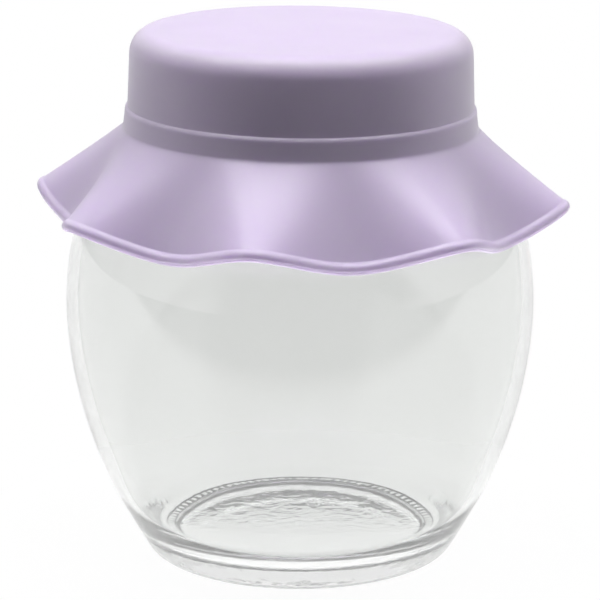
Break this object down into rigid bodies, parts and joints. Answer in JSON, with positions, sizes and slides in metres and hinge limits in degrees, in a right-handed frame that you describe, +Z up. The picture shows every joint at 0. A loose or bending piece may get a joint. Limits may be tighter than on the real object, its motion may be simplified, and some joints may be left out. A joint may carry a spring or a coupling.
{
  "type": "condiment jar",
  "caption": "Empty clear glass barrel jar with a wide mouth, closed by a moulded plastic lid whose skirt is shaped like a gathered cloth frill with a turned-out lip.",
  "frame": {"origin": "centre of the jar's base, on the surface it stands on", "axes": "+Z up along the jar's axis; -Y faces the viewer; +X to the viewer's right"},
  "size_m": [0.127, 0.1269, 0.1263],
  "materials": {
    "clear_glass": "clear polished soda-lime glass, faint grey-green in thick edges",
    "lilac_plastic": "satin moulded plastic, opaque pale lilac"
  },
  "bodies": {
    "root": {"jar_glass": "clear_glass", "lid": "lilac_plastic"}
  },
  "joints": []
}
